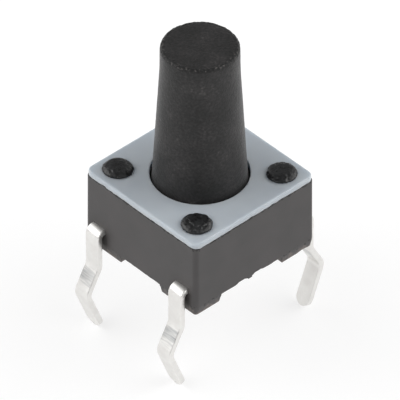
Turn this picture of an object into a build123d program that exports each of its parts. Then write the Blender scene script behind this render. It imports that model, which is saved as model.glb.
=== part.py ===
"""Tactile push button switch, through-hole, 6 mm square, with a tall round button.

Millimetres, +Z up. The origin is the middle of the switch on the board face that its feet stand on (Z = 0).
The leads come out of the two X sides and go down through the board, in two rows along Y.
"""

from build123d import *
import math
import os

os.makedirs("parts", exist_ok=True)

# ---- Driving dimensions ----------------------------------------------------------------------------------

# Moulded housing
body_side = 6.0                # square outside, measured just above the feet
housing_top = 3.25             # top face of the housing above the board
wall_draft = 0.4               # degrees that each outer wall leans in towards the top
wall_corner_radius = 0.2
foot_height = 0.42             # the underside stands this far above the board between the feet
foot_run_y = 1.95              # each foot's length along a lead side, from the body's corner
foot_run_left = 1.32           # each foot's length along a plain side, on the -X half
foot_run_right = 1.65          # and on the +X half
foot_taper = 9.0               # degrees
foot_bevel = 0.09
gate_mark_x = -0.24            # stub of the moulding gate under the -Y wall
gate_mark_size = (0.20, 0.14, 0.07)
relief_places = (-0.66, 0.16)  # two shallow reliefs in the underside's edge, beside the gate mark
relief_width = 0.5
relief_depth = 0.05
relief_run = 0.4

# Heat-staked posts that hold the cover down
post_inset = 0.87              # from the body's side to a post's axis
post_radius = 0.4
post_clearance = 0.03          # radial, in the cover's holes
head_radius = 0.565
head_height = 0.22
head_edge = 0.06               # height of the head's upright edge

# Cover plate
cover_thickness = 0.25
cover_inset = 0.015            # the plate's edge stands this far inside the housing's full width
cover_corner_radius = 0.3
cover_edge_radius = 0.06

# Button
button_top = 9.5               # above the board
stem_foot_radius = 1.77        # where the stem leaves the cover
stem_shoulder_radius = 1.48    # where the wide taper ends
stem_shoulder_drop = 1.1       # that far below the top
stem_top_radius = 1.468
stem_rim_radius = 0.13
guide_clearance = 0.09         # radial, round the stem's foot in the cover's hole
travel = 0.25
flange_lip = 0.25              # how far the flange reaches under the cover's hole, all round
flange_thickness = 0.6
flange_clearance = 0.02        # under the cover, at rest
cavity_clearance = 0.2         # radial, round the flange
nub_radius = 0.5
nub_clearance = 0.02           # over the dome, at rest

# Terminal strips, stamped and bent from one thickness of sheet
strip_thickness = 0.25
strip_top = 1.2                # upper face of the strips, inside the housing
lead_width = 0.7
lead_row_spacing = 4.5         # between the two strips, along Y
lead_standoff = 0.25           # from the housing's wall to the middle of a lead
lead_length = 3.5              # below the board face
bend_radius = 0.25             # all lead radii are those of the strip's middle plane
kink_start = 0.55              # below the board face
kink_radius = 0.6
snap_depth = 1.62              # the snap's furthest point, below the board face
snap_reach = 0.61              # and out from the lead's straight part
snap_radius = 0.45
tip_toe_in = 0.1               # the tip's middle plane, in from the straight part
centre_tab_width = 0.8
centre_pad_radius = 0.5
rim_tab_width = 0.6
rim_tab_overrun = 0.35         # a rim tab ends this far past the dome's middle line
contact_height = 0.15          # contacts pressed up out of the strip
contact_radius = 0.25
contact_wall = 0.08            # sheet left round the hollow under a contact
floor_cover = 0.1              # plastic over the strips in the cavity

# Snap dome
dome_radius = 1.95
dome_thickness = 0.08
dome_rim_width = 0.1
contact_gap = 0.02             # left under the dome when the button is fully down

# ---- Worked-out places -----------------------------------------------------------------------------------

half_body = body_side / 2
post_spacing = body_side - 2 * post_inset
cover_top = housing_top + cover_thickness
floor_top = strip_top + floor_cover
contact_top = strip_top + contact_height
strip_middle = strip_top - strip_thickness / 2
strip_bottom = strip_top - strip_thickness
lead_x = half_body + lead_standoff
row_y = lead_row_spacing / 2

dome_rise = travel + contact_gap
dome_crown = contact_top + dome_rise + dome_thickness
rim_contact_x = dome_radius - dome_rim_width / 2

stem_shoulder_z = button_top - stem_shoulder_drop
stem_slope = (stem_foot_radius - stem_shoulder_radius) / (stem_shoulder_z - cover_top)
hole_radius = stem_foot_radius + guide_clearance
flange_radius = hole_radius + flange_lip
flange_top = housing_top - flange_clearance
flange_bottom = flange_top - flange_thickness
stem_radius_at_flange = stem_foot_radius + stem_slope * (cover_top - flange_top)
nub_bottom = dome_crown + nub_clearance
cavity_radius = flange_radius + cavity_clearance


# ---- Terminal strips -------------------------------------------------------------------------------------

def bent_leads(y):
    """The bent run of one strip: across the housing and down into a kinked lead at each end."""
    half_path = [
        (lead_x, strip_middle),
        (lead_x, -kink_start),
        (lead_x + snap_reach, -snap_depth),
        (lead_x - tip_toe_in, -lead_length),
    ]
    path = [(-x, z) for x, z in reversed(half_path)] + half_path
    radii = [snap_radius, kink_radius, bend_radius]
    widest = lead_x + snap_reach + strip_thickness
    with BuildPart() as leads:
        with BuildSketch(Plane.XZ.offset(-y)):
            with BuildLine():
                FilletPolyline(*path, radius=radii + radii[::-1])
            trace(line_width=strip_thickness)
        extrude(amount=lead_width / 2, both=True)
        # Seen from the X side each lead ends in a half circle.
        with BuildSketch(Plane.YZ):
            height = strip_top + lead_length
            with Locations((y, strip_top + lead_width / 2 - (height + lead_width / 2) / 2)):
                SlotOverall(height + lead_width / 2, lead_width, rotation=90)
            with Locations((y, strip_top)):
                Rectangle(lead_width, lead_width)
        extrude(amount=widest, both=True, mode=Mode.INTERSECT)
    return leads.part


def contact(x, y):
    """One contact: a round pad pressed up, with the hollow that the punch leaves under it."""
    with BuildPart() as pad:
        with BuildSketch(Plane.XY.offset(strip_bottom)):
            with Locations((x, y)):
                Circle(contact_radius)
        extrude(amount=contact_top - strip_bottom)
    with BuildPart() as hollow:
        with BuildSketch(Plane.XY.offset(strip_bottom)):
            with Locations((x, y)):
                Circle(contact_radius - contact_wall)
        extrude(amount=contact_height)
    return pad.part, hollow.part


centre_pad, centre_hollow = contact(0, 0)
centre_leads = bent_leads(row_y)

with BuildPart() as centre_terminal:
    add(centre_leads)
    with BuildSketch(Plane.XY.offset(strip_bottom)):
        with Locations((0, row_y / 2)):
            Rectangle(centre_tab_width, row_y)
        Circle(centre_pad_radius)
    extrude(amount=strip_thickness)
    add(centre_pad)
    add(centre_hollow, mode=Mode.SUBTRACT)
centre_terminal.part.label = "centre_terminal"
export_step(centre_terminal.part, "parts/centre_terminal.step")

rim_contacts = [contact(side * rim_contact_x, 0) for side in (-1, 1)]
rim_leads = bent_leads(-row_y)

with BuildPart() as rim_terminal:
    add(rim_leads)
    with BuildSketch(Plane.XY.offset(strip_bottom)):
        for side in (-1, 1):
            with Locations((side * rim_contact_x, (rim_tab_overrun - row_y) / 2)):
                Rectangle(rim_tab_width, row_y + rim_tab_overrun)
    extrude(amount=strip_thickness)
    for pad, hollow in rim_contacts:
        add(pad)
        add(hollow, mode=Mode.SUBTRACT)
rim_terminal.part.label = "rim_terminal"
export_step(rim_terminal.part, "parts/rim_terminal.step")


# ---- Housing ---------------------------------------------------------------------------------------------

with BuildPart() as staked_head:
    with BuildSketch(Plane.XZ):
        with BuildLine():
            crown = TangentArc((0, cover_top + head_height), (head_radius, cover_top + head_edge), tangent=(1, 0))
            Polyline(crown @ 1, (head_radius, cover_top), (0, cover_top), crown @ 0)
        make_face()
    revolve(axis=Axis.Z)

with BuildPart() as base_housing:
    with BuildSketch(Plane.XY.offset(foot_height)):
        RectangleRounded(body_side, body_side, wall_corner_radius)
    extrude(amount=housing_top - foot_height, taper=wall_draft)
    # Four feet, one at each corner
    for side_x, run_x in ((-1, foot_run_left), (1, foot_run_right)):
        with BuildSketch(Plane.XY.offset(foot_height)):
            with Locations(*[(side_x * (body_side - run_x) / 2, y * (body_side - foot_run_y) / 2) for y in (-1, 1)]):
                RectangleRounded(run_x, foot_run_y, wall_corner_radius)
        extrude(amount=-foot_height, taper=foot_taper)
    chamfer(base_housing.edges().group_by(Axis.Z)[0], foot_bevel)
    # Reliefs and the gate mark in the underside's edge, on the -Y side
    with BuildSketch(Plane.XY.offset(foot_height)):
        with Locations(*[(x, -half_body) for x in relief_places]):
            Rectangle(relief_width, 2 * relief_run)
    extrude(amount=relief_depth, mode=Mode.SUBTRACT)
    with Locations((gate_mark_x, -half_body + gate_mark_size[1] / 2 + cover_inset, foot_height)):
        Box(*gate_mark_size)
    # Round cavity for the button's flange and the dome
    with BuildSketch(Plane.XY.offset(floor_top)):
        Circle(cavity_radius)
    extrude(amount=housing_top - floor_top, mode=Mode.SUBTRACT)
    # Posts, staked over the cover
    with BuildSketch(Plane.XY.offset(housing_top)):
        with GridLocations(post_spacing, post_spacing, 2, 2):
            Circle(post_radius)
    extrude(amount=cover_thickness)
    with GridLocations(post_spacing, post_spacing, 2, 2):
        add(staked_head.part)
    # Both strips are moulded in
    add(centre_terminal.part, mode=Mode.SUBTRACT)
    add(rim_terminal.part, mode=Mode.SUBTRACT)
base_housing.part.label = "base_housing"
export_step(base_housing.part, "parts/base_housing.step")


# ---- Cover plate -----------------------------------------------------------------------------------------

with BuildPart() as cover_plate:
    with BuildSketch(Plane.XY.offset(housing_top)):
        RectangleRounded(body_side - 2 * cover_inset, body_side - 2 * cover_inset, cover_corner_radius)
        Circle(hole_radius, mode=Mode.SUBTRACT)
        with GridLocations(post_spacing, post_spacing, 2, 2):
            Circle(post_radius + post_clearance, mode=Mode.SUBTRACT)
    extrude(amount=cover_thickness)
    fillet(cover_plate.faces().sort_by(Axis.Z)[-1].outer_wire().edges(), cover_edge_radius)
cover_plate.part.label = "cover_plate"
export_step(cover_plate.part, "parts/cover_plate.step")


# ---- Snap dome -------------------------------------------------------------------------------------------

with BuildPart() as snap_dome:
    with BuildSketch(Plane.XZ):
        with BuildLine():
            under = TangentArc(
                (0, contact_top + dome_rise), (dome_radius - dome_rim_width, contact_top), tangent=(1, 0)
            )
            over = TangentArc((0, dome_crown), (dome_radius, contact_top), tangent=(1, 0))
            Line(under @ 1, over @ 1)
            Line(under @ 0, over @ 0)
        make_face()
    revolve(axis=Axis.Z)
snap_dome.part.label = "snap_dome"
export_step(snap_dome.part, "parts/snap_dome.step")


# ---- Button ----------------------------------------------------------------------------------------------

with BuildPart() as push_button:
    with BuildSketch(Plane.XZ) as half_section:
        with BuildLine():
            Polyline(
                (0, nub_bottom),
                (nub_radius, nub_bottom),
                (nub_radius, flange_bottom),
                (flange_radius, flange_bottom),
                (flange_radius, flange_top),
                (stem_radius_at_flange, flange_top),
                (stem_shoulder_radius, stem_shoulder_z),
                (stem_top_radius, button_top),
                (0, button_top),
                close=True,
            )
        make_face()
        fillet(half_section.vertices().group_by(Axis.Z)[-1].sort_by(Axis.X)[-1], stem_rim_radius)
    revolve(axis=Axis.Z)
push_button.part.label = "push_button"
export_step(push_button.part, "parts/push_button.step")
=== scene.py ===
"""The looks of a 6 mm tactile push button switch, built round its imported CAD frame.

Shapes are worked out in millimetres, as surfaces on grids, and written to the meshes in metres.
"""

import math

import bmesh
import bpy
import numpy as np
from mathutils import Matrix, Vector


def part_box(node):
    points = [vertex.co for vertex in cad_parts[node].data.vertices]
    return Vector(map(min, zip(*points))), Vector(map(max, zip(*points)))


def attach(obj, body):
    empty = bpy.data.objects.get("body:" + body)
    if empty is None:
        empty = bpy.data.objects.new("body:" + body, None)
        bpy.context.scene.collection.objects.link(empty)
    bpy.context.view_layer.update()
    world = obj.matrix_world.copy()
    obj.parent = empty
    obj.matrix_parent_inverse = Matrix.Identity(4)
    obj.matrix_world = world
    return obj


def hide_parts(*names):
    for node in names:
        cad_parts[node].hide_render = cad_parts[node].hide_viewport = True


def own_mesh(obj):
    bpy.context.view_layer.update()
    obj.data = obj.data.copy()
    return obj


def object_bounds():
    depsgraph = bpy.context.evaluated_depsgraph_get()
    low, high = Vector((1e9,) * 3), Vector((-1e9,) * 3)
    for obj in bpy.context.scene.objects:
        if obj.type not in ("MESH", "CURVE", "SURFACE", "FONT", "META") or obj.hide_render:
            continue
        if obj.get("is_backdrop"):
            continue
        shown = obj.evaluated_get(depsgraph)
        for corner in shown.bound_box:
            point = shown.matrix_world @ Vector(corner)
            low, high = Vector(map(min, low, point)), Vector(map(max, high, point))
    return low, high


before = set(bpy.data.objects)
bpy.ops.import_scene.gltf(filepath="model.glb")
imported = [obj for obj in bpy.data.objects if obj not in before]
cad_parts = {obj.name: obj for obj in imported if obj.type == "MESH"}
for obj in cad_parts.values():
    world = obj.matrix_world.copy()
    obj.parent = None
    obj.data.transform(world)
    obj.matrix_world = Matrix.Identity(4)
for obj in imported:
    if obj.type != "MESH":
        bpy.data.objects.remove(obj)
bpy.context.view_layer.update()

MM = 0.001


def frame_box(node):
    """The lowest and highest corner of a CAD node, in millimetres."""
    low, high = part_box(node)
    return np.array(low) / MM, np.array(high) / MM


housing_high = frame_box("base_housing")[1]
cover_low, cover_high = frame_box("cover_plate")
button_low, button_high = frame_box("push_button")
dome_low, dome_high = frame_box("snap_dome")
leads_low = frame_box("centre_terminal")[0]


# ---- Sizes, in millimetres -------------------------------------------------------------------------------

half_body = housing_high[0]
housing_top = cover_low[2]
cover_top = cover_high[2]
wall_lean = math.tan(math.radians(0.4))
wall_corner = 0.2
wall_edge = 0.03
foot_height = 0.42
foot_runs_x = (1.32, 1.65)      # on the -X half and on the +X half
foot_run_y = 1.95
foot_lean = 0.066               # how far a foot's side leans in before its bevel
foot_bevel = 0.09
floor_top = 1.30
cavity_radius = 2.31
relief_places = (-0.66, 0.16)
relief_width = 0.5
relief_depth = 0.05
gate_place = -0.24
gate_width = 0.2
gate_drop = 0.07

post_place = 2.13
post_radius = 0.42
head_radius = 0.585
head_height = 0.235

cover_half = cover_high[0]
cover_corner = 0.3
cover_edge = 0.07
hole_radius = 1.86
hole_edge = 0.03

stem_foot = 1.77
stem_shoulder = 1.48
stem_top = 1.468
stem_rim = 0.14
nub_radius = 0.5
flange_thickness = 0.6
button_top = button_high[2]
flange_radius = button_high[0]
flange_top = housing_top - 0.02

strip_thick = 0.25
strip_top = 1.2
strip_middle = strip_top - strip_thick / 2
lead_width = 0.7
lead_x = half_body + 0.25
row_y = 2.25
lead_bottom = leads_low[2]
kink_top = -0.55
snap_z = -1.62
snap_reach = 0.608
tip_toe_in = 0.1
plating_edge = 0.05
contact_high = 0.15
contact_radius = 0.25


# ---- Surfaces on grids -----------------------------------------------------------------------------------

def grain(points, size, seed):
    """Smooth random field from -1 to 1: seeded random values on a cubic lattice of that spacing, blended
    with a smoothstep between the eight lattice points round each point."""
    table = np.random.default_rng(seed).uniform(-1, 1, (48, 48, 48))
    place = np.asarray(points, float) / size
    cell = np.floor(place).astype(int)
    t = place - cell
    t = t * t * (3 - 2 * t)
    total = np.zeros(place.shape[:-1])
    for corner in np.ndindex(2, 2, 2):
        index = (cell + corner) % 48
        weight = np.where(np.array(corner, bool), t, 1 - t).prod(axis=-1)
        total += weight * table[index[..., 0], index[..., 1], index[..., 2]]
    return total


def rounded(corners, radii, steps=8, hold=0.02):
    """A polyline with its corners rounded: each arc touches both straight runs at radius x tan(half the turn)
    from the corner, is divided evenly by angle, and has one more point `hold` before and after it."""
    corners = np.asarray(corners, float)
    out = [corners[:1]]
    for before, corner, after, radius in zip(corners, corners[1:], corners[2:], radii):
        a = (before - corner) / np.linalg.norm(before - corner)
        b = (after - corner) / np.linalg.norm(after - corner)
        half_turn = (math.pi - math.acos(np.clip(a @ b, -1, 1))) / 2
        if radius <= 0 or half_turn < 1e-4:
            out.append(corner[None])
            continue
        reach = radius * math.tan(half_turn)
        middle = corner + (a + b) / np.linalg.norm(a + b) * radius / math.cos(half_turn)
        start, end = corner + a * reach - middle, corner + b * reach - middle
        t = np.linspace(0, 1, steps + 1)[:, None]
        turn = 2 * half_turn
        arc = (np.sin((1 - t) * turn) * start + np.sin(t * turn) * end) / math.sin(turn) + middle
        out += [(corner + a * (reach + hold))[None], arc, (corner + b * (reach + hold))[None]]
    out.append(corners[-1:])
    return np.vstack(out)


def spread(line, step):
    """The same polyline with extra points, so that no two lie further apart than step."""
    out = [line[:1]]
    for a, b in zip(line, line[1:]):
        count = max(1, math.ceil(np.linalg.norm(b - a) / step))
        out.append(a + (b - a) * (np.arange(1, count + 1) / count)[:, None])
    return np.vstack(out)


def turned(profile, columns, centre=(0, 0)):
    """Surface of revolution: each profile point (radius, height) goes round the upright axis at centre."""
    angle = np.linspace(0, 2 * math.pi, columns, endpoint=False)
    radius, height = profile[:, :1], profile[:, 1:]
    return np.stack([
        centre[0] + radius * np.cos(angle),
        centre[1] + radius * np.sin(angle),
        height + 0 * angle,
    ], axis=-1)


def ring_faces(rows, columns, first, wrap_rows=False):
    """Quads of a grid whose columns join up, facing outwards when rows climb and columns go anticlockwise."""
    i = np.arange(rows if wrap_rows else rows - 1)[:, None]
    j = np.arange(columns)[None, :]
    k, m = (i + 1) % rows, (j + 1) % columns
    quads = np.stack([i * columns + j, i * columns + m, k * columns + m, k * columns + j], axis=-1)
    return quads.reshape(-1, 4) + first


def fan(ring, pole, flip):
    """Triangles from a closed ring of vertices to one pole vertex."""
    after = np.roll(ring, -1)
    pairs = (after, ring) if flip else (ring, after)
    return np.stack([pairs[0], pairs[1], np.full_like(ring, pole)], axis=-1)


class Skin:
    """Vertices and faces of one piece, gathered surface by surface."""

    def __init__(self):
        self.points, self.faces, self.count = [], [], 0

    def add(self, points, *faces):
        """Takes one surface's points, and its faces as arrays of vertex numbers."""
        self.points.append(points.reshape(-1, 3))
        self.count += len(self.points[-1])
        for group in faces:
            self.faces += group.tolist()

    def closed(self, grid, wrap_rows=False):
        """A closed surface: a tube whose two ends are closed by fans, or a ring when its rows join up too."""
        rows, columns = grid.shape[:2]
        quads = ring_faces(rows, columns, self.count, wrap_rows)
        if wrap_rows:
            self.add(grid, quads)
            return
        pole = self.count + rows * columns
        ring = self.count + np.arange(columns)
        points = np.vstack([grid.reshape(-1, 3), grid[0].mean(axis=0), grid[-1].mean(axis=0)])
        self.add(points, quads, fan(ring, pole, True), fan(ring + (rows - 1) * columns, pole + 1, False))

    def finish(self, name, material, body, slot, *nodes, weld=None):
        """Writes the mesh in metres, shades it smooth, gives the piece its material and body, and hides the
        CAD nodes it stands for. The slot is not used."""
        mesh = bpy.data.meshes.new(name)
        mesh.from_pydata((np.vstack(self.points) * MM).tolist(), [], self.faces)
        if weld:
            work = bmesh.new()
            work.from_mesh(mesh)
            bmesh.ops.remove_doubles(work, verts=work.verts, dist=weld * MM)
            bmesh.ops.recalc_face_normals(work, faces=work.faces)
            work.to_mesh(mesh)
            work.free()
        mesh.shade_smooth()
        mesh.validate()
        mesh.materials.append(material)
        piece = bpy.data.objects.new(name, mesh)
        bpy.context.scene.collection.objects.link(piece)
        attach(piece, body)
        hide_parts(*nodes)
        return piece


# ---- Materials -------------------------------------------------------------------------------------------

# A Mix node's sockets for colours: how much of the upper one, the lower one, the upper one, and the result.
share, under, over, mixed = 0, 6, 7, 2


def linear(code):
    """An sRGB hex colour as linear values, opaque."""
    values = [int(code[i:i + 2], 16) / 255 for i in (0, 2, 4)]
    return [v / 12.92 if v <= 0.04045 else ((v + 0.055) / 1.055) ** 2.4 for v in values] + [1.0]


def node(tree, kind, inputs=(), stops=(), **settings):
    """Adds one node and returns its outputs. The inputs, in order or by name or number, are values or sockets
    to link from, the stops are a colour ramp's, and the settings are the node's own properties."""
    made = tree.nodes.new("ShaderNode" + kind)
    for key, value in settings.items():
        setattr(made, key, value)
    for key, value in inputs.items() if isinstance(inputs, dict) else enumerate(inputs):
        if isinstance(value, bpy.types.NodeSocket):
            tree.links.new(value, made.inputs[key])
        else:
            made.inputs[key].default_value = value
    if stops:
        bands = made.color_ramp.elements
        while len(bands) < len(stops):
            bands.new(0.5)
        for band, (position, code) in zip(bands, stops):
            band.position, band.color = position, linear(code)
    return made.outputs


def begin(name, **values):
    """A new material with its shader's constant sockets set, and its object coordinates in metres."""
    material = bpy.data.materials.new(name)
    material.use_nodes = True
    tree = material.node_tree
    shader = tree.nodes["Principled BSDF"]
    for key, value in values.items():
        shader.inputs[key.replace("_", " ")].default_value = value
    return material, tree, shader, node(tree, "TexCoord")["Object"]


def per_mm(size):
    """The scale that makes a pattern's features that many millimetres across."""
    return 1 / (size * MM)


def moulded_nylon():
    """Black glass-filled nylon, injection moulded in a smooth tool: a dull grey sheen at a slant, faint
    flow mottling a millimetre across, and fine fibre grain of about 0.05 mm, drawn at 0.07 mm to show."""
    material, tree, shader, place = begin("moulded_glass_filled_nylon", IOR=1.5, Roughness=0.5)
    flow = node(tree, "TexNoise", {"Vector": place, "Scale": per_mm(1.1), "Detail": 3.0})["Fac"]
    shade = node(tree, "ValToRGB", [flow], [(0.3, "3a3838"), (0.7, "413e3e")])["Color"]
    fibre = node(tree, "TexNoise", {"Vector": place, "Scale": per_mm(0.07), "Detail": 2.0})["Fac"]
    bump = node(tree, "Bump", {"Height": fibre, "Strength": 0.25, "Distance": 0.004 * MM})["Normal"]
    parts = node(tree, "SeparateXYZ", [place])
    height = parts["Z"]
    # Painted shade: the wall is darker round each lead's exit, up to a little above it.
    aside = node(tree, "Math", [parts["Y"]], operation="ABSOLUTE")["Value"]
    aside = node(tree, "Math", [aside, row_y * MM], operation="SUBTRACT")["Value"]
    aside = node(tree, "Math", [aside], operation="ABSOLUTE")["Value"]
    near = node(tree, "MapRange", [aside, 0.25 * MM, 0.72 * MM, 0.6, 0.0])["Result"]
    beneath = node(tree, "MapRange", [height, 1.0 * MM, 1.8 * MM, 1.0, 0.0])["Result"]
    lead_exit_shade = node(tree, "Math", [near, beneath], operation="MULTIPLY")["Value"]
    shade = node(tree, "Mix", {share: lead_exit_shade, under: shade, over: linear("292523")}, data_type="RGBA")[mixed]
    # The feet's lower edges are scuffed: paler and browner in patches over the lowest half millimetre.
    patch = node(tree, "TexNoise", {"Vector": place, "Scale": per_mm(0.16), "Detail": 4.0})["Fac"]
    low = node(tree, "MapRange", [height, 0.55 * MM, 0.06 * MM, -0.22, 0.24])["Result"]
    scuff = node(tree, "Math", [patch, low], operation="ADD", use_clamp=True)["Value"]
    scuff = node(tree, "ValToRGB", [scuff], [(0.52, "000000"), (0.68, "ffffff")])["Color"]
    shade = node(tree, "Mix", {share: scuff, under: shade, over: linear("5f5652")}, data_type="RGBA")[mixed]
    # Dark nicks along the top edge, where the cover sits, and along the parting edge between the feet: chips
    # painted near black, which is painted shade in them and in the seam under the cover.
    top_from, top_full = (housing_top - 0.13) * MM, (housing_top - 0.04) * MM
    over_from, over_full = (foot_height + 0.14) * MM, (foot_height + 0.05) * MM
    below_from, below_full = (foot_height - 0.14) * MM, (foot_height - 0.05) * MM
    seam_shade_band = node(tree, "MapRange", [height, top_from, top_full, 0.0, 0.24])["Result"]
    from_over = node(tree, "MapRange", [height, over_from, over_full, 0.0, 1.0])["Result"]
    from_below = node(tree, "MapRange", [height, below_from, below_full, 0.0, 0.16])["Result"]
    low_edge = node(tree, "Math", [from_over, from_below], operation="MULTIPLY")["Value"]
    edges = node(tree, "Math", [seam_shade_band, low_edge], operation="MAXIMUM")["Value"]
    speck = node(tree, "TexNoise", {"Vector": place, "Scale": per_mm(0.13), "Detail": 3.0})["Fac"]
    nicks = node(tree, "Math", [speck, edges], operation="ADD")["Value"]
    nicks = node(tree, "ValToRGB", [nicks], [(0.71, "000000"), (0.77, "ffffff")])["Color"]
    shade = node(tree, "Mix", {share: nicks, under: shade, over: linear("0b0a0a")}, data_type="RGBA")[mixed]
    tree.links.new(shade, shader.inputs["Base Color"])
    tree.links.new(bump, shader.inputs["Normal"])
    return material


def spark_eroded_button():
    """Black nylon moulded in a spark-eroded tool: duller and darker than the housing, with a fine even
    grain of about 0.1 mm, cloudy over about a millimetre, and a few paler specks."""
    material, tree, shader, place = begin(
        "spark_eroded_nylon", IOR=1.42, Roughness=0.6, Sheen_Weight=0.42, Sheen_Roughness=0.3,
    )
    mottle = node(tree, "TexNoise", {"Vector": place, "Scale": per_mm(0.9), "Detail": 2.0})["Fac"]
    erosion = node(tree, "TexNoise", {"Vector": place, "Scale": per_mm(0.1), "Detail": 1.0})["Fac"]
    both = node(tree, "Math", [mottle, erosion], operation="ADD")["Value"]
    half = node(tree, "Math", [both, 0.5], operation="MULTIPLY")["Value"]
    stops = [(0.34, "111110"), (0.5, "1f1e1e"), (0.64, "2c2a2a"), (0.72, "403e3d")]
    shade = node(tree, "ValToRGB", [half], stops)["Color"]
    # Painted shade: the rim is darker all round, with pale specks about 0.1 mm across.
    parts = node(tree, "SeparateXYZ", [place])
    flat = node(tree, "CombineXYZ", [parts["X"], parts["Y"]])["Vector"]
    radius = node(tree, "VectorMath", [flat], operation="LENGTH")["Value"]
    top_from, top_full = (button_top - 0.15) * MM, (button_top - 0.06) * MM
    out_from, out_full = (stem_top - 0.2) * MM, (stem_top - 0.09) * MM
    near_top = node(tree, "MapRange", [parts["Z"], top_from, top_full, 0.0, 1.0])["Result"]
    near_side = node(tree, "MapRange", [radius, out_from, out_full, 0.0, 1.0])["Result"]
    rim = node(tree, "Math", [near_top, near_side], operation="MULTIPLY")["Value"]
    speck = node(tree, "TexNoise", {"Vector": place, "Scale": per_mm(0.085), "Detail": 1.0})["Fac"]
    stops = [(0.42, "070707"), (0.58, "1b1a1a"), (0.72, "504d4b")]
    specks = node(tree, "ValToRGB", [speck], stops)["Color"]
    shade = node(tree, "Mix", {share: rim, under: shade, over: specks}, data_type="RGBA")[mixed]
    grit = node(tree, "TexNoise", {"Vector": place, "Scale": per_mm(0.06), "Detail": 3.0})["Fac"]
    bump = node(tree, "Bump", {"Height": grit, "Strength": 1.0, "Distance": 0.014 * MM})["Normal"]
    tree.links.new(shade, shader.inputs["Base Color"])
    tree.links.new(bump, shader.inputs["Normal"])
    return material


def staked_nylon():
    """The housing's nylon where a hot tool formed the post ends: darker, glossier, with small pits and
    creases about 0.1 mm across that catch the light."""
    material, tree, shader, place = begin("heat_staked_nylon", IOR=1.5)
    patch = node(tree, "TexNoise", {"Vector": place, "Scale": per_mm(0.2), "Detail": 3.0})["Fac"]
    shade = node(tree, "ValToRGB", [patch], [(0.35, "101011"), (0.7, "242526")])["Color"]
    gloss = node(tree, "MapRange", [patch, 0.0, 1.0, 0.16, 0.5])["Result"]
    crease = node(tree, "TexNoise", {"Vector": place, "Scale": per_mm(0.08), "Detail": 4.0})["Fac"]
    bump = node(tree, "Bump", {"Height": crease, "Strength": 0.7, "Distance": 0.012 * MM})["Normal"]
    tree.links.new(shade, shader.inputs["Base Color"])
    tree.links.new(gloss, shader.inputs["Roughness"])
    tree.links.new(bump, shader.inputs["Normal"])
    return material


def milky_cover():
    """Natural polyamide, moulded thin: a milky bluish grey that light soaks into for about half a
    millimetre, so that edges glow a little, with a satin surface."""
    material, tree, shader, place = begin(
        "milky_polyamide", IOR=1.5, Roughness=0.42, Subsurface_Weight=0.55,
        Subsurface_Radius=(0.45, 0.5, 0.55), Subsurface_Scale=0.9 * MM,
    )
    cloud = node(tree, "TexNoise", {"Vector": place, "Scale": per_mm(1.6), "Detail": 2.0})["Fac"]
    shade = node(tree, "ValToRGB", [cloud], [(0.3, "adb4bb"), (0.7, "b6bdc3")])["Color"]
    satin = node(tree, "TexNoise", {"Vector": place, "Scale": per_mm(0.12), "Detail": 2.0})["Fac"]
    bump = node(tree, "Bump", {"Height": satin, "Strength": 0.15, "Distance": 0.003 * MM})["Normal"]
    tree.links.new(shade, shader.inputs["Base Color"])
    tree.links.new(bump, shader.inputs["Normal"])
    return material


def silver_plate():
    """Brass strip, stamped, bent and silver plated: bright and slightly milky, with faint drawing marks
    across the bends and roughness that varies over about 0.3 mm."""
    material, tree, shader, place = begin("silver_plated_strip", Metallic=1.0)
    patch = node(tree, "TexNoise", {"Vector": place, "Scale": per_mm(0.35), "Detail": 3.0})["Fac"]
    shade = node(tree, "ValToRGB", [patch], [(0.3, "e2e0dd"), (0.7, "eae9e6")])["Color"]
    gloss = node(tree, "MapRange", [patch, 0.0, 1.0, 0.28, 0.42])["Result"]
    # Forming marks between the kinks: dark streaks across the strip, drawn out along Y.
    height = node(tree, "SeparateXYZ", [place])["Z"]
    drawn = node(tree, "Mapping", {"Vector": place, "Scale": (1.0, 0.1, 1.0)})["Vector"]
    streak = node(tree, "TexNoise", {"Vector": drawn, "Scale": per_mm(0.08), "Detail": 2.0})["Fac"]
    below = node(tree, "MapRange", [height, -1.6 * MM, -1.0 * MM, -0.8, 0.0])["Result"]
    above = node(tree, "MapRange", [height, -0.72 * MM, -0.52 * MM, 0.0, -0.8])["Result"]
    marks = node(tree, "Math", [streak, below], operation="ADD")["Value"]
    marks = node(tree, "Math", [marks, above], operation="ADD")["Value"]
    # The sheared edges, which face along Y, have none.
    facing = node(tree, "TexCoord")["Normal"]
    edgewise = node(tree, "SeparateXYZ", [facing])["Y"]
    edgewise = node(tree, "Math", [edgewise, edgewise], operation="MULTIPLY")["Value"]
    marks = node(tree, "Math", [marks, edgewise], operation="SUBTRACT", use_clamp=True)["Value"]
    marks = node(tree, "ValToRGB", [marks], [(0.15, "000000"), (0.75, "ffffff")])["Color"]
    shade = node(tree, "Mix", {share: marks, under: shade, over: linear("a3a5a6")}, data_type="RGBA")[mixed]
    wrinkle = node(tree, "TexNoise", {"Vector": place, "Scale": per_mm(0.1), "Detail": 2.0})["Fac"]
    bump = node(tree, "Bump", {"Height": wrinkle, "Strength": 0.15, "Distance": 0.004 * MM})["Normal"]
    tree.links.new(shade, shader.inputs["Base Color"])
    tree.links.new(gloss, shader.inputs["Roughness"])
    tree.links.new(bump, shader.inputs["Normal"])
    return material


def dome_steel():
    """Rolled stainless spring strip: grey, bright, with fine rolling lines 0.04 mm apart."""
    material, tree, shader, place = begin("rolled_spring_steel", Metallic=1.0, Roughness=0.3)
    waves_per_unit = 20                 # a Wave node draws about this many lines in one unit of its scale
    scale = per_mm(0.04) / waves_per_unit
    lines = node(tree, "TexWave", {"Vector": place, "Scale": scale, "Distortion": 2.0})["Fac"]
    shade = node(tree, "ValToRGB", [lines], [(0.2, "b4b4b2"), (0.8, "c6c6c4")])["Color"]
    bump = node(tree, "Bump", {"Height": lines, "Strength": 0.1, "Distance": 0.002 * MM})["Normal"]
    tree.links.new(shade, shader.inputs["Base Color"])
    tree.links.new(bump, shader.inputs["Normal"])
    return material


# ---- Button ----------------------------------------------------------------------------------------------

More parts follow.
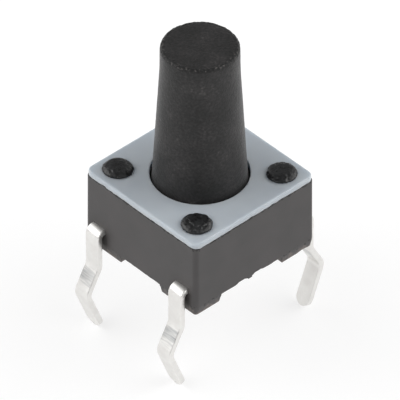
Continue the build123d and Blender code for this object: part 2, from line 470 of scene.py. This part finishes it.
def push_button():
    """One turned profile: nub, flange, tapered stem with a soft shoulder, rounded rim, flat top. The stem
    and the top are pressed in square to the profile by a fine random grain, and the rim a little more."""
    shoulder_z = button_top - 1.1
    slope = (stem_foot - stem_shoulder) / (shoulder_z - cover_top)
    flange_bottom = flange_top - flange_thickness
    nub_bottom = button_low[2]
    profile = rounded([
        (0.02, nub_bottom),
        (nub_radius, nub_bottom),
        (nub_radius, flange_bottom),
        (flange_radius, flange_bottom),
        (flange_radius, flange_top),
        (stem_foot + slope * (cover_top - flange_top), flange_top),
        (stem_shoulder, shoulder_z),
        (stem_top, button_top),
        (0.02, button_top),
    ], [0.05, 0.03, 0.05, 0.05, 0.03, 12.0, stem_rim])
    profile = spread(profile, 0.045)
    along = np.gradient(profile, axis=0)
    along /= np.maximum(np.linalg.norm(along, axis=1, keepdims=True), 1e-9)
    square = np.column_stack([along[:, 1], -along[:, 0]])
    grid, out = turned(profile, 240), turned(square, 240)
    radius, height = np.linalg.norm(grid[..., :2], axis=-1), grid[..., 2]
    near_rim = np.exp(-((height - button_top + 0.03) / 0.1) ** 2) * (radius > stem_top - 0.22)
    shown = (height > cover_top) * (0.003 + 0.011 * near_rim)
    rough = grain(grid, 0.09, 11) + 0.6 * grain(grid, 0.05, 12) - 1.2
    grid = grid + out * (shown * rough)[..., None]
    grid[..., 2] = np.minimum(grid[..., 2], button_top)
    skin = Skin()
    skin.closed(grid)
    return skin.finish("button", spark_eroded_button(), "button", "button_moulding", "push_button")


# ---- Cover plate -----------------------------------------------------------------------------------------

def square_angles(corner, half, along=30, round_steps=14):
    """Polar angles that put evenly spaced points on the sides and more of them on the rounded corners."""
    edge = math.atan2(half - corner, half)
    quarter = np.concatenate([
        np.linspace(-edge, edge, along, endpoint=False),
        np.linspace(edge, math.pi / 2 - edge, round_steps, endpoint=False),
    ])
    return np.concatenate([quarter + k * math.pi / 2 for k in range(4)])


def rounded_square(angle, half, corner):
    """Where rays at these angles meet a rounded square: on a side, or else on the corner's circle."""
    way = np.stack([np.cos(angle), np.sin(angle)], axis=-1)
    reach = half / np.abs(way).max(axis=-1)
    hit = np.abs(way * reach[:, None]).min(axis=-1)
    middle = (half - corner) * np.sign(way)
    along = (way * middle).sum(axis=-1)
    root = np.sqrt(np.maximum(along ** 2 - (middle ** 2).sum(axis=-1) + corner ** 2, 0))
    return way * np.where(hit > half - corner, along + root, reach)[:, None]


def cover_plate():
    """A ring of profiles: each goes from the round hole to the rounded square outline, and every profile
    point is the hole's circle and the outline blended by how far across the plate it lies."""
    angle = square_angles(cover_corner, cover_half, along=90)
    profile = rounded([
        (0.5, housing_top),
        (0, housing_top),
        (0, cover_top),
        (1, cover_top),
        (1, housing_top),
        (0.5, housing_top),
    ], [0.01, hole_edge, cover_edge, 0.03], hold=0.015)[:-1]
    profile = spread(profile, 0.06)
    rows = []
    for across, height in profile:
        # The blend is in millimetres from whichever edge is nearer, so that edge radii stay round.
        inner = (hole_radius + across) * np.stack([np.cos(angle), np.sin(angle)], axis=-1)
        inset = 1 - across
        outer = rounded_square(angle, cover_half - inset, max(cover_corner - inset, 0.02))
        blend = np.clip((across - 0.15) / 0.7, 0, 1)
        blend = blend * blend * (3 - 2 * blend)
        flat = inner * (1 - blend) + outer * blend
        rows.append(np.column_stack([flat, np.full(len(angle), height)]))
    grid = np.stack(rows)
    # The parting edge at the foot of the plate is uneven, with small nicks.
    reach = np.abs(grid[..., :2]).max(axis=-1)
    low_edge = (reach > cover_half - 0.06) * np.clip((housing_top + 0.09 - grid[..., 2]) / 0.07, 0, 1)
    nicks = np.clip(grain(grid, 0.22, 21) - 0.1, 0, 1) + 0.5 * np.clip(grain(grid, 0.09, 22), 0, 1)
    grid[..., :2] *= (1 - 0.011 * low_edge * nicks)[..., None]
    skin = Skin()
    # The profiles were worked out going down the outer side, so they are taken in reverse to face outwards.
    skin.closed(grid[::-1], wrap_rows=True)
    return skin.finish("cover", milky_cover(), "housing", "grey_moulding", "cover_plate")


# ---- Housing ---------------------------------------------------------------------------------------------

def grid_lines(runs, features=()):
    """Coordinates of grid lines across the underside: evenly spaced, and closer at each foot's sides."""
    bevel_end = foot_lean + foot_bevel
    steps = np.array([
        0, 0.012, foot_lean - 0.012, foot_lean, foot_lean + 0.012, bevel_end - 0.01, bevel_end,
        bevel_end + 0.015, 0.2,
    ])
    low_end, high_end = -half_body + runs[0], half_body - runs[1]
    places = [-half_body + steps, low_end - steps, high_end + steps, half_body - steps, *features]
    places.append(np.linspace(-half_body, half_body, 61))
    lines = np.sort(np.concatenate(places))
    return lines[np.concatenate([[True], np.diff(lines) > 0.004])]


def underside(x, y):
    """Height of the underside. Each foot is a block whose sides lean in and end in a bevel, so the height
    falls with the distance d from the foot's nearest side; between the feet it is flat, with a small bevel
    at the wall, two shallow reliefs and the stub of the moulding gate."""
    drop = np.zeros_like(x)
    for side_x, run_x in zip((-1, 1), foot_runs_x):
        for side_y in (-1, 1):
            dx = np.minimum(half_body - side_x * x, side_x * x - (half_body - run_x))
            dy = np.minimum(half_body - side_y * y, side_y * y - (half_body - foot_run_y))
            d = np.minimum(dx, dy)
            steep = (foot_height - foot_bevel) * np.clip(d / foot_lean, 0, 1)
            drop = np.maximum(drop, steep + np.clip(d - foot_lean, 0, foot_bevel))
    wall = half_body - np.maximum(np.abs(x), np.abs(y))
    between = drop < 1e-6
    height = foot_height - drop
    height += between * np.clip(wall_edge - wall, 0, wall_edge)
    front = np.clip((-half_body + 0.42 - y) / 0.06, 0, 1)
    for place in relief_places:
        dip = np.clip((relief_width / 2 - np.abs(x - place)) / 0.05, 0, 1)
        height += between * front * dip * relief_depth
    stub = np.clip((gate_width / 2 - np.abs(x - gate_place)) / 0.02, 0, 1)
    stub = stub * np.clip((-half_body + 0.16 - y) / 0.02, 0, 1)
    return height - between * stub * gate_drop


def round_corner(x, y, corner):
    """Moves points of a square grid so that its outer corners are round: in each corner's small square,
    every square ring becomes a quarter circle about that square's inner point."""
    inner = half_body - corner
    p, q = np.abs(x) - inner, np.abs(y) - inner
    inside = (p > 0) & (q > 0)
    p, q = np.maximum(p, 1e-9), np.maximum(q, 1e-9)
    shrink = np.maximum(p, q) / np.hypot(p, q)
    return (np.where(inside, np.sign(x) * (inner + p * shrink), x),
            np.where(inside, np.sign(y) * (inner + q * shrink), y))


def staked_post(skin, x, y, seed):
    """A post and its head in one turned profile: the shank, the head's underside, and a crown shaped as a
    flattened half round. The hot tool left it uneven, so every point moves away from the middle of the
    head's foot by two random fields, and inwards by a third where that one is high, which makes the pits."""
    shank = rounded([
        (0.01, housing_top - 0.3),
        (post_radius, housing_top - 0.3),
        (post_radius, cover_top + 0.001),
        (head_radius - 0.04, cover_top + 0.001),
    ], [0.02, 0.005], steps=3, hold=0.008)
    t = np.linspace(0, 1, 44)[:-1] * math.pi / 2
    crown = np.column_stack([
        head_radius * np.cos(t) ** 0.75,
        cover_top + 0.02 + (head_height - 0.035) * np.sin(t) ** 0.85,
    ])
    grid = turned(np.vstack([spread(shank, 0.05), crown]), 110, (x, y))
    out = grid - [x, y, cover_top]
    on_head = (grid[..., 2] > cover_top + 0.01)[..., None]
    wave = 0.03 * grain(grid, 0.5, seed) + 0.022 * grain(grid, 0.2, seed + 1)
    pits = 0.10 * np.clip(grain(grid, 0.11, seed + 2) - 0.15, 0, 1) + 0.02 * grain(grid, 0.06, seed + 3)
    grid = grid + out * on_head * (wave - pits - 0.01)[..., None] * [1, 1, 1.5]
    skin.closed(grid)


def base_housing():
    """The underside is a height over a square grid. Its rim is carried up as the leaning walls, over a
    small rounded edge to the flat top, and down the round cavity to its floor."""
    lines_x = grid_lines(foot_runs_x, [gate_place + np.array([-0.12, -0.1, -0.08, 0.08, 0.1, 0.12])])
    lines_y = grid_lines((foot_run_y, foot_run_y), [-half_body + np.array([0.03, 0.14, 0.16, 0.36, 0.42])])
    x, y = np.meshgrid(lines_x, lines_y, indexing="ij")
    z = underside(x, y)
    x, y = round_corner(x, y, wall_corner)
    below = np.stack([x, y, z], axis=-1)
    # The parting edge is uneven between the feet, and the feet are chipped here and there.
    uneven = 0.010 * grain(below, 0.12, 31) + 0.018 * grain(below, 0.35, 32)
    chips = 0.06 * np.clip(grain(below, 0.17, 33) - 0.2, 0, 1)
    below[..., 2] += np.where(z > foot_height - 0.08, uneven, chips * (z < foot_bevel + 0.02))
    rows, columns = below.shape[:2]
    number = np.arange(rows * columns).reshape(rows, columns)
    quads = np.stack([number[:-1, :-1], number[:-1, 1:], number[1:, 1:], number[1:, :-1]], axis=-1)
    skin = Skin()
    skin.add(below, quads.reshape(-1, 4))

    rim = np.vstack([below[:-1, 0], below[-1, :-1], below[:0:-1, -1], below[0, :0:-1]])
    heights = np.concatenate([
        [0.5, 0.6], np.linspace(0.8, housing_top - 0.2, 12), [housing_top - wall_edge - 0.015],
    ])
    walls = [rim] + [
        np.column_stack([rim[:, :2] * (1 - (h - foot_height) * wall_lean / half_body), np.full(len(rim), h)])
        for h in heights
    ]
    inset_top = (housing_top - foot_height) * wall_lean
    for t in np.linspace(0, math.pi / 2, 5):
        inset = inset_top + wall_edge * (1 - math.cos(t))
        level = housing_top - wall_edge * (1 - math.sin(t))
        walls.append(np.column_stack([rim[:, :2] * (1 - inset / half_body), np.full(len(rim), level)]))
    angle = np.arctan2(rim[:, 1], rim[:, 0])
    circle = np.column_stack([np.cos(angle), np.sin(angle)])
    inner = [
        (cavity_radius, housing_top),
        (cavity_radius, housing_top - 0.05),
        (cavity_radius, floor_top + 0.05),
        (cavity_radius - 0.03, floor_top),
        (1.2, floor_top),
        (0.05, floor_top),
    ]
    walls.append(walls[-1] * [0.97, 0.97, 1])
    walls += [np.column_stack([circle * r, np.full(len(rim), h)]) for r, h in inner]
    grid = np.stack(walls)
    # The wall's top edge is chipped here and there where the cover was clamped on.
    at_edge = (grid[..., 2] > housing_top - 0.08) & (np.abs(grid[..., :2]).max(axis=-1) > half_body - 0.12)
    grid[..., 2] -= at_edge * 0.11 * np.clip(grain(grid, 0.15, 35) - 0.25, 0, 1)
    tall, around = grid.shape[:2]
    pole = skin.count + tall * around
    points = np.vstack([grid.reshape(-1, 3), [0, 0, floor_top]])
    last_ring = pole - around + np.arange(around)
    skin.add(points, ring_faces(tall, around, skin.count), fan(last_ring, pole, False))
    return skin.finish("housing", moulded_nylon(), "housing", "black_moulding", "base_housing", weld=0.0005)


def staked_heads():
    """The four posts and their heads, each with its own seed."""
    skin = Skin()
    for number, (x, y) in enumerate([(-1, -1), (1, -1), (1, 1), (-1, 1)]):
        staked_post(skin, x * post_place, y * post_place, 40 + 7 * number)
    return skin.finish("staked_heads", staked_nylon(), "housing", "black_moulding")


# ---- Terminal strips -------------------------------------------------------------------------------------

def section(half_width, half_thick, edge, steps=4):
    """A rounded rectangle as (across, through) points, anticlockwise, with evenly divided corner arcs."""
    corner = np.linspace(0, math.pi / 2, steps + 1)
    out = []
    for k, (sx, sy) in enumerate([(1, 1), (-1, 1), (-1, -1), (1, -1)]):
        a = corner + k * math.pi / 2
        out.append(np.column_stack([
            sx * (half_width - edge) + edge * np.cos(a),
            sy * (half_thick - edge) + edge * np.sin(a),
        ]))
    return np.vstack(out)


def swept_strip(skin, path, y, half_width):
    """A flat strip along a path in an X-Z plane: at each path point the section stands square to the path.
    Its width narrows at both ends as half circles do."""
    step = np.gradient(path, axis=0)
    way = step / np.linalg.norm(step, axis=1, keepdims=True)
    normal = np.column_stack([-way[:, 1], way[:, 0]])
    length = np.concatenate([[0], np.cumsum(np.linalg.norm(np.diff(path, axis=0), axis=1))])
    from_end = np.minimum(length, length[-1] - length)
    t = np.clip(1 - from_end / half_width, 0, 1)
    widths = half_width * np.sqrt(np.maximum(1 - t * t, 0.012))
    rows = []
    for (px, pz), (nx, nz), width in zip(path, normal, widths):
        outline = section(width, strip_thick / 2, min(plating_edge, width * 0.6))
        across, through = outline[:, 0], outline[:, 1]
        rows.append(np.column_stack([px + nx * through, y + across, pz + nz * through]))
    grid = np.stack(rows)
    # The sheared edges are slightly rough.
    side = np.clip((np.abs(grid[..., 1] - y) - half_width + 0.05) / 0.05, 0, 1)
    grid[..., 1] -= np.sign(grid[..., 1] - y) * side * (0.006 + 0.012 * grain(grid, 0.07, 61))
    skin.closed(grid)


def tip_points(a, b):
    """Points from a to b, closest together at a: their distances go as 1 less the cosine of an angle that
    is evenly divided."""
    t = np.concatenate([1 - np.cos(np.linspace(0, math.pi / 2, 14)[:-1]), [1]])
    return a + (b - a) * t[:, None]


def lead_path():
    """The strip's middle line, from one lead's tip over the housing's width to the other's tip."""
    tip_rise = strip_thick / 2 * math.sin(math.radians(20)) + 0.004
    end = np.array([lead_x - tip_toe_in, lead_bottom + tip_rise])
    half = [
        (lead_x, strip_middle),
        (lead_x, kink_top),
        (lead_x + snap_reach, snap_z),
        tuple(end),
    ]
    corners = [(-px, pz) for px, pz in reversed(half)] + half
    radii = [0.45, 0.6, 0.25]
    path = spread(rounded(corners, radii + radii[::-1], steps=12, hold=0.03), 0.12)
    # Both tips are divided more finely, because the strip's width changes quickly there.
    reach = lead_width / 2
    length = np.concatenate([[0], np.cumsum(np.linalg.norm(np.diff(path, axis=0), axis=1))])
    keep = (length > reach + 0.02) & (length < length[-1] - reach - 0.02)
    first_way = (path[1] - path[0]) / np.linalg.norm(path[1] - path[0])
    last_way = (path[-2] - path[-1]) / np.linalg.norm(path[-2] - path[-1])
    start = tip_points(path[0], path[0] + first_way * reach)
    stop = tip_points(path[-1], path[-1] + last_way * reach)[::-1]
    return np.vstack([start, path[keep], stop])


def flat_tab(skin, x, y_from, y_to, width):
    """A flat tab along Y: the rounded section carried along a straight line."""
    outline = section(width / 2, strip_thick / 2, 0.03)
    rows = [np.column_stack([x + outline[:, 0], np.full(len(outline), y), strip_middle + outline[:, 1]])
            for y in (y_from, y_to)]
    # Carried from high Y to low Y, so that its faces point outwards.
    skin.closed(np.stack(rows if y_from > y_to else rows[::-1]))


def contact_pad(skin, x, y, pad_radius):
    """A turned disc of sheet with a contact pressed up in its middle."""
    low = strip_top - strip_thick
    profile = rounded([
        (0.01, low + contact_high),
        (contact_radius - 0.08, low + contact_high),
        (contact_radius - 0.08, low + 0.001),
        (pad_radius, low + 0.001),
        (pad_radius, strip_top + 0.001),
        (contact_radius, strip_top + 0.001),
        (contact_radius, strip_top + contact_high),
        (0.01, strip_top + contact_high),
    ], [0.02, 0.02, 0.03, 0.03, 0.03, 0.05], steps=5, hold=0.005)
    skin.closed(turned(profile, 48, (x, y)))


def centre_terminal(material):
    """The strip on the +Y row: both leads in one sweep, and a tab to the contact under the dome's middle."""
    skin = Skin()
    swept_strip(skin, lead_path(), row_y, lead_width / 2)
    flat_tab(skin, 0, row_y - lead_width / 2 + 0.05, 0.1, 0.8)
    contact_pad(skin, 0, 0, 0.5)
    return skin.finish("centre_terminal_strip", material, "housing", "silver_plated_brass", "centre_terminal")


def rim_terminal(material):
    """The strip on the -Y row: both leads in one sweep, and two tabs to the contacts under the dome's rim."""
    skin = Skin()
    swept_strip(skin, lead_path(), -row_y, lead_width / 2)
    for side in (-1, 1):
        flat_tab(skin, side * 1.9, 0.2, -row_y + lead_width / 2 - 0.05, 0.6)
        contact_pad(skin, side * 1.9, 0, 0.3)
    return skin.finish("rim_terminal_strip", material, "housing", "silver_plated_brass", "rim_terminal")


# ---- Snap dome -------------------------------------------------------------------------------------------

def snap_dome():
    """A thin turned shell: two parabolas a sheet's thickness apart, joined round the rim."""
    rim, low, high = dome_high[0], dome_low[2], dome_high[2]
    t = np.linspace(0.01, 1, 26)
    rise = high - low - 0.08
    under = np.column_stack([t * (rim - 0.1), low + rise * (1 - t ** 2)])
    over = np.column_stack([t * rim, low + (high - low) * (1 - t ** 2)])[::-1]
    grid = turned(np.vstack([under, over]), 96)
    skin = Skin()
    skin.closed(grid)
    piece = skin.finish("dome", dome_steel(), "housing", "spring_steel", "snap_dome")
    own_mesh(piece)
    return piece


# ---- Stage -----------------------------------------------------------------------------------------------

def camera():
    """A long lens, 268 mm away, that looks down at 40.6 degrees from 42.9 degrees round to the -X side."""
    turn, climb, roll = math.radians(-42.891), math.radians(40.602), math.radians(0.07)
    distance, lens = 268.4, 651.4
    shift_right, shift_up = 0.007, 1.608
    back = Vector((math.sin(turn) * math.cos(climb), -math.cos(turn) * math.cos(climb), math.sin(climb)))
    right = Vector((math.cos(turn), math.sin(turn), 0))
    up = back.cross(right)
    right, up = math.cos(roll) * right + math.sin(roll) * up, math.cos(roll) * up - math.sin(roll) * right
    data = bpy.data.cameras.new("camera")
    data.lens, data.sensor_width = lens, 36
    data.clip_start, data.clip_end = 0.01, 10
    made = bpy.data.objects.new("camera", data)
    bpy.context.scene.collection.objects.link(made)
    place = (back * distance + right * shift_right + up * shift_up) * MM
    made.matrix_world = Matrix.Translation(place) @ Matrix((right, up, back)).transposed().to_4x4()
    bpy.context.scene.camera = made


def floor():
    """A white sheet that the leads' tips stand on, lit a little from below so that it stays pale."""
    size, level = 0.6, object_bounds()[0][2]
    mesh = bpy.data.meshes.new("floor")
    corners = [(x * size, y * size, level) for x, y in ((-1, -1), (1, -1), (1, 1), (-1, 1))]
    mesh.from_pydata(corners, [], [(0, 1, 2, 3)])
    material = begin(
        "lit_white_acrylic", Roughness=0.9, Specular_IOR_Level=0.2, Emission_Strength=0.63,
        Base_Color=linear("acacac"), Emission_Color=linear("ffffff"),
    )[0]
    mesh.materials.append(material)
    made = bpy.data.objects.new("floor", mesh)
    bpy.context.scene.collection.objects.link(made)
    made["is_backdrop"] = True


def light():
    """A light tent: bright to both sides and overhead, dimmer behind the camera and low on the horizon.
    The brightness is a curve of height times a curve of how far the direction turns to either side."""
    world = bpy.data.worlds.new("light_tent")
    world.use_nodes = True
    tree = world.node_tree
    way = node(tree, "TexCoord")["Generated"]
    height = node(tree, "SeparateXYZ", [way])["Z"]
    stops = [(0.0, "606060"), (0.15, "707070"), (0.34, "f4f4f4"), (0.7, "ffffff"), (1.0, "e8e8e8")]
    tall = node(tree, "ValToRGB", [height], stops)["Color"]
    aside = node(tree, "VectorMath", [way, (0.733, -0.681, 0)], operation="DOT_PRODUCT")["Value"]
    aside = node(tree, "Math", [aside], operation="ABSOLUTE")["Value"]
    dimmest, brightest = 0.34, 3.15
    wide = node(
        tree, "MapRange", [aside, 0.25, 0.95, dimmest, brightest], interpolation_type="SMOOTHSTEP",
    )["Result"]
    background = tree.nodes["Background"]
    tree.links.new(tall, background.inputs["Color"])
    tree.links.new(wide, background.inputs["Strength"])
    bpy.context.scene.world = world
    bpy.context.scene.view_settings.view_transform = "Standard"


camera()
floor()
light()
push_button()
cover_plate()
base_housing()
staked_heads()
plating = silver_plate()
centre_terminal(plating)
rim_terminal(plating)
snap_dome()
